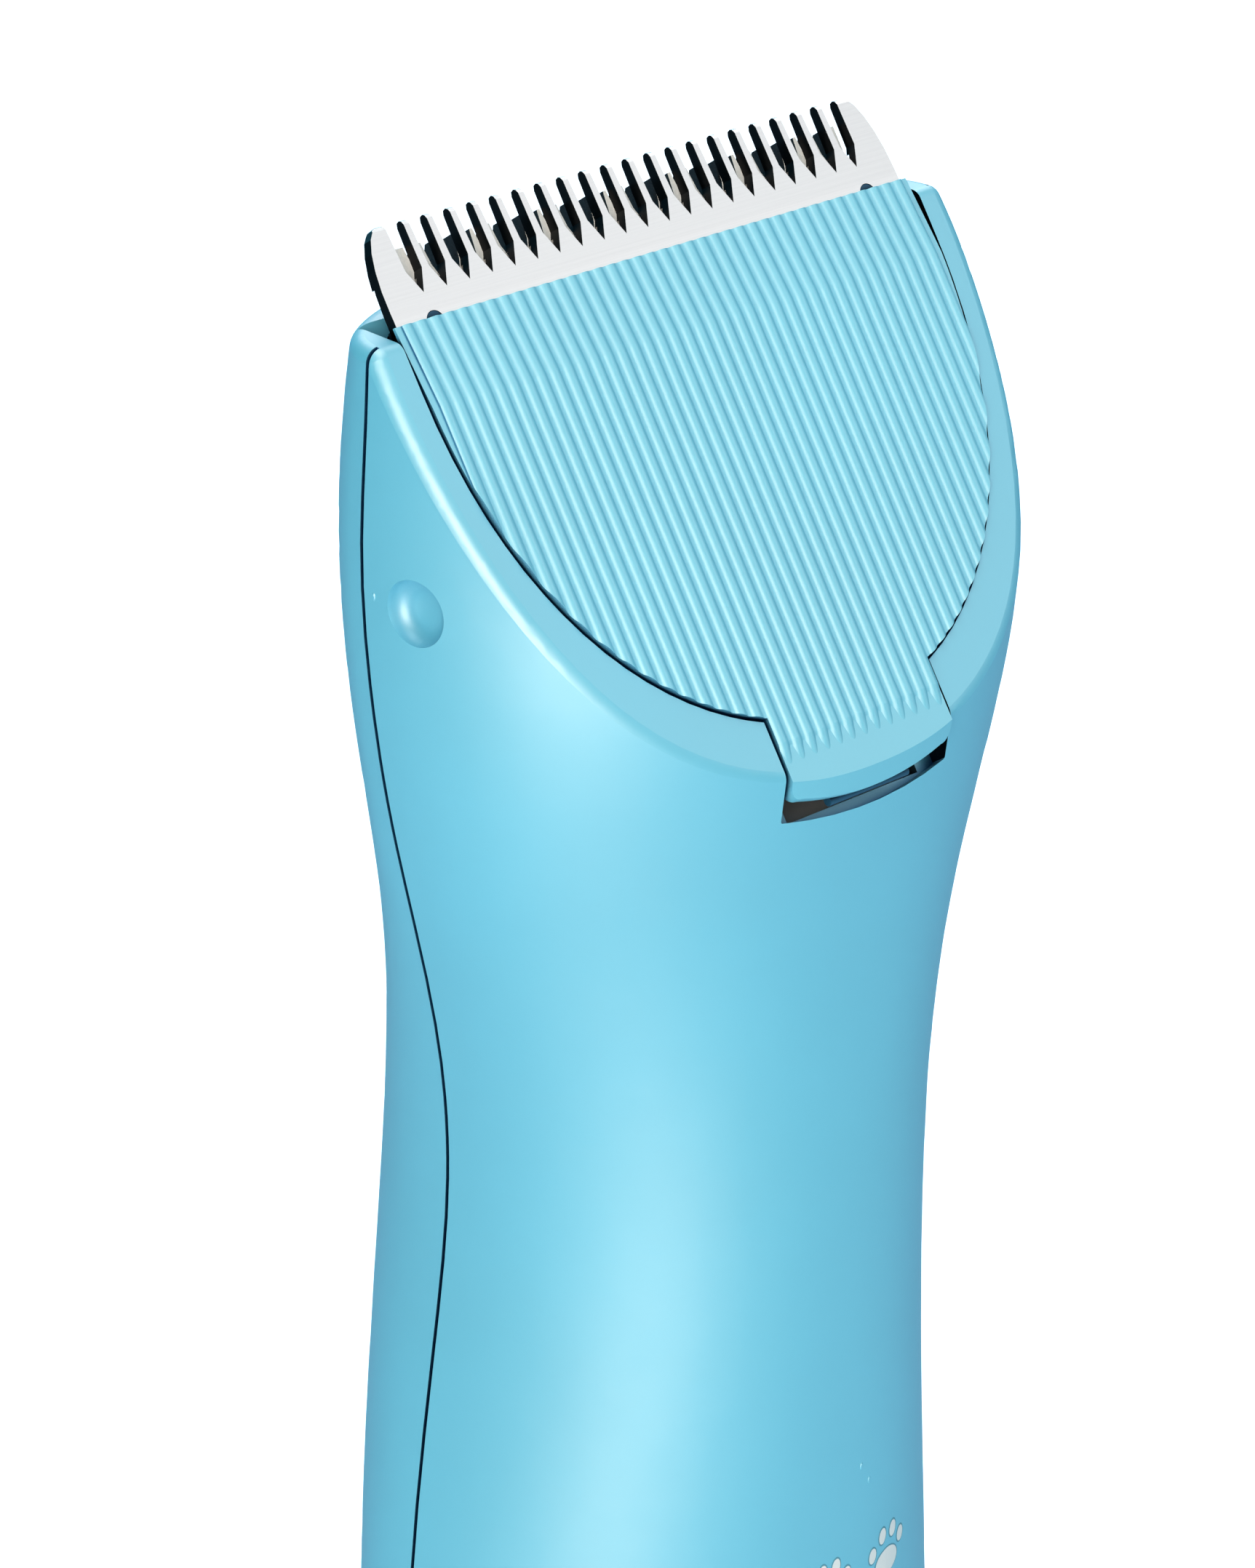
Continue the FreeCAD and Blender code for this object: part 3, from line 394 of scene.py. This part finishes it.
def cut_blade(material):
    """Paints shade on the cut walls between the teeth, which face sideways, and leaves the ground faces
    bright.
    """
    tree = material.node_tree
    shader = tree.nodes["Principled BSDF"]
    bright = shader.inputs["Base Color"].links[0].from_socket
    side = tree.nodes.new("ShaderNodeNewGeometry")
    split = tree.nodes.new("ShaderNodeSeparateXYZ")
    tree.links.new(side.outputs["True Normal"], split.inputs["Vector"])
    wall = calculate(tree, "ABSOLUTE", split.outputs["X"])
    amount = span(tree, wall, 0.25, 0.55)
    tree.links.new(blend_colours(tree, amount, bright, CUT_WALL_SHADE), shader.inputs["Base Color"])
    return material


def make_finishes():
    """One material for each slot of the parts list."""
    return {
        "shell_blue": dark_inside(case_plastic("shell_blue", (0.095, 0.50, 0.70), **CASE_GLOSS)),
        "cover_blue": case_plastic("cover_blue", (0.115, 0.53, 0.72), **CASE_GLOSS),
        "carrier_blue": case_plastic("carrier_blue", (0.01, 0.07, 0.14), CARRIER_SEAM_SHADE),
        "button_blue": plastic("button_blue", (0.10, 0.48, 0.70), 0.35),
        "blade_steel": cut_blade(
            metal("blade_steel", LINES_ACROSS, (0.90, 0.855, 0.835), 0.34, 0.93, Roughness_Spread=0.1)
        ),
        "cutter_ceramic": cut_blade(powder("cutter_ceramic", (0.88, 0.87, 0.86), 0.96, 0.22)),
        "driver_white": plastic("driver_white", (0.80, 0.80, 0.77), 0.4),
        "spring_steel": metal("spring_steel", LINES_UPRIGHT, (0.62, 0.63, 0.65), 0.28),
        "screw_steel": metal("screw_steel", LINES_ROUND, (0.55, 0.56, 0.58), 0.3),
        "frame_grey": plastic("frame_grey", (0.50, 0.53, 0.56), 0.5),
        "seal_rubber": plastic("seal_rubber", (0.012, 0.012, 0.014), 0.75, 3000.0),
        "hub_black": plastic("hub_black", (0.010, 0.010, 0.012), 0.4),
        "motor_steel": metal("motor_steel", LINES_ROUND, (0.70, 0.71, 0.72), 0.3),
        "magnet_dark": powder("magnet_dark", (0.045, 0.045, 0.05), 0.6, 0.5, 0.6),
        "rotor_copper": metal("rotor_copper", LINES_ROUND, (0.72, 0.32, 0.14), 0.35, 0.5, 0.6),
        "bearing_bronze": powder("bearing_bronze", (0.62, 0.42, 0.18), 0.6, 0.35, 1.0),
        "endcap_black": plastic("endcap_black", (0.015, 0.015, 0.018), 0.5),
        "contact_tin": metal("contact_tin", LINES_UPRIGHT, (0.76, 0.76, 0.73), 0.25),
        "battery_wrap": plastic("battery_wrap", (0.02, 0.20, 0.09), 0.22, 1500.0),
        "nickel": metal("nickel", LINES_ACROSS, (0.68, 0.66, 0.62), 0.22),
        "board_green": plastic("board_green", (0.010, 0.11, 0.045), 0.3, 2500.0),
        "chip_black": plastic("chip_black", (0.008, 0.008, 0.009), 0.55),
        "ferrite_grey": powder("ferrite_grey", (0.06, 0.06, 0.063), 0.6, 0.55),
        "capacitor_tan": powder("capacitor_tan", (0.36, 0.23, 0.12), 0.8, 0.4),
        "switch_black": plastic("switch_black", (0.012, 0.012, 0.012), 0.5),
        "ring_clear": plastic("ring_clear", (0.75, 0.88, 0.92), 0.35),
        "lamp_white": plastic("lamp_white", (0.85, 0.82, 0.6), 0.25),
        "port_steel": metal("port_steel", LINES_UPRIGHT, (0.68, 0.68, 0.69), 0.25),
    }


def finish_nodes(finishes):
    for part in frame["record"]["subparts"]:
        mesh = nodes[part["node"]].data
        for index in range(len(mesh.materials)):
            mesh.materials[index] = finishes[part["material_slot"]]


def floor_finish():
    """A mid-blue floor that glows white to the camera alone, so it looks pale and bounces blue."""
    material = plastic("floor_white", FLOOR_BLUE, 0.8, 300.0, 0.02, 0.01, 0.99)
    tree = material.node_tree
    shader = tree.nodes["Principled BSDF"]
    path = tree.nodes.new("ShaderNodeLightPath")
    shader.inputs["Emission Color"].default_value = (1, 1, 1, 1)
    tree.links.new(path.outputs["Is Camera Ray"], shader.inputs["Emission Strength"])
    return material


def lay_floor():
    mesh = bpy.data.meshes.new("pale_floor")
    corners = ((-1, -1), (1, -1), (1, 1), (-1, 1))
    mesh.from_pydata([(x * FLOOR_HALF, y * FLOOR_HALF, -FLOOR_DROP) for x, y in corners], [], [(0, 1, 2, 3)])
    floor = bpy.data.objects.new("pale_floor", mesh)
    bpy.context.scene.collection.objects.link(floor)
    mesh.materials.append(floor_finish())


# ---- printed paws and moulding specks -----------------------------------------------------
UP = Vector((0, 0, 1))
GRIP_FRONT = -14.3        # millimetres, about where the front of the grip lies
PRINT_HEIGHT = 75.0       # above the base
PAW_PITCH = 5.4
PRINT_EDGE = 0.07         # width of the dark line round each print
PRINT_SINK = 0.03         # how far the foot of a print or speck lies in the wall
PRINT_SHOULDER = 0.012    # rise of a print's outer line
PRINT_RISE = 0.025
RAY_START = 30.0          # a probe starts this far outside the wall it looks for
SPECK_SIZE = (0.12, 0.26)
SPECK_RISE = 0.05
SPECK_SIDES = 12
# Pads of one paw: sideways, up, half width, half height, in millimetres
PADS = (
    (0.0, -0.75, 1.25, 1.0), (-1.5, 0.35, 0.42, 0.62), (-0.55, 1.25, 0.42, 0.65),
    (0.55, 1.25, 0.42, 0.65), (1.5, 0.35, 0.42, 0.62),
)
# Specks: place on the shell and the way that looks into its wall
SPECKS = (
    ((2.35, -14.3, 82.3), (0, 1, 0)), ((3.15, -14.2, 81.0), (0, 1, 0)),
    ((-21.0, 1.3, 137.8), (1, 0, 0)),
)


def shell_surface():
    form = bmesh.new()
    form.from_mesh(nodes["front_shell"].data)
    surface = BVHTree.FromBMesh(form)
    form.free()
    return surface


def stamp(form, surface, centre, inward, size, levels, count=28):
    """Adds a low oval that follows the shell.

    Levels give (share of size, rise) from the foot inward.  Material 1 is for the rim, 0 for the top.
    """
    across = inward.cross(UP)

    def on_shell(angle, share, rise):
        sideways = across * (size[0] * share * math.cos(angle) * MM)
        upward = UP * (size[1] * share * math.sin(angle) * MM)
        start = centre * MM + sideways + upward - inward * (RAY_START * MM)
        spot = surface.ray_cast(start, inward)[0]
        return form.verts.new(spot - inward * (rise * MM))

    rings = []
    for share, rise in levels:
        rings.append([on_shell(2 * math.pi * step / count, share, rise) for step in range(count)])
    foot = on_shell(0.0, 0.0, levels[0][1])
    crown = on_shell(0.0, 0.0, levels[-1][1])
    for step in range(count):
        after = (step + 1) % count
        form.faces.new((foot, rings[0][after], rings[0][step]))
        for low, high in zip(rings, rings[1:]):
            side = form.faces.new((low[step], low[after], high[after], high[step]))
            side.material_index = 1
        form.faces.new((rings[-1][step], rings[-1][after], crown))


def add_piece(name, form, materials):
    bmesh.ops.recalc_face_normals(form, faces=form.faces)
    mesh = bpy.data.meshes.new(name)
    form.to_mesh(mesh)
    form.free()
    for material in materials:
        mesh.materials.append(material)
    piece = bpy.data.objects.new(name, mesh)
    bpy.context.scene.collection.objects.link(piece)
    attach(piece, "housing")
    return piece


def print_paws(surface):
    """A row of three small paw prints across the front of the grip."""
    white = plastic("print_white", (0.80, 0.81, 0.81), 0.5, 9000.0, 0.1, 0.01, 0.93)
    edge = plastic("print_edge", (0.10, 0.30, 0.40), 0.5)
    for index in (-1, 0, 1):
        form = bmesh.new()
        for sideways, upward, half_x, half_z in PADS:
            centre = Vector((index * PAW_PITCH + sideways, GRIP_FRONT, PRINT_HEIGHT + upward))
            inner = 1 - PRINT_EDGE / min(half_x, half_z)
            levels = ((1.0, -PRINT_SINK), (1.0, PRINT_SHOULDER), (inner, PRINT_RISE))
            stamp(form, surface, centre, Vector((0, 1, 0)), (half_x, half_z), levels)
        add_piece(f"paw_print_{index + 2}", form, (white, edge))


def raise_specks(surface, skin):
    levels = ((1.0, -PRINT_SINK), (1.0, 0.0), (0.6, SPECK_RISE))
    for index, (centre, inward) in enumerate(SPECKS):
        form = bmesh.new()
        stamp(form, surface, Vector(centre), Vector(inward), SPECK_SIZE, levels, SPECK_SIDES)
        add_piece(f"mould_speck_{index + 1}", form, (skin, skin))


set_camera()
set_surroundings()
light_studio()
lay_floor()
finishes = make_finishes()
finish_nodes(finishes)
surface = shell_surface()
print_paws(surface)
raise_specks(surface, finishes["shell_blue"])
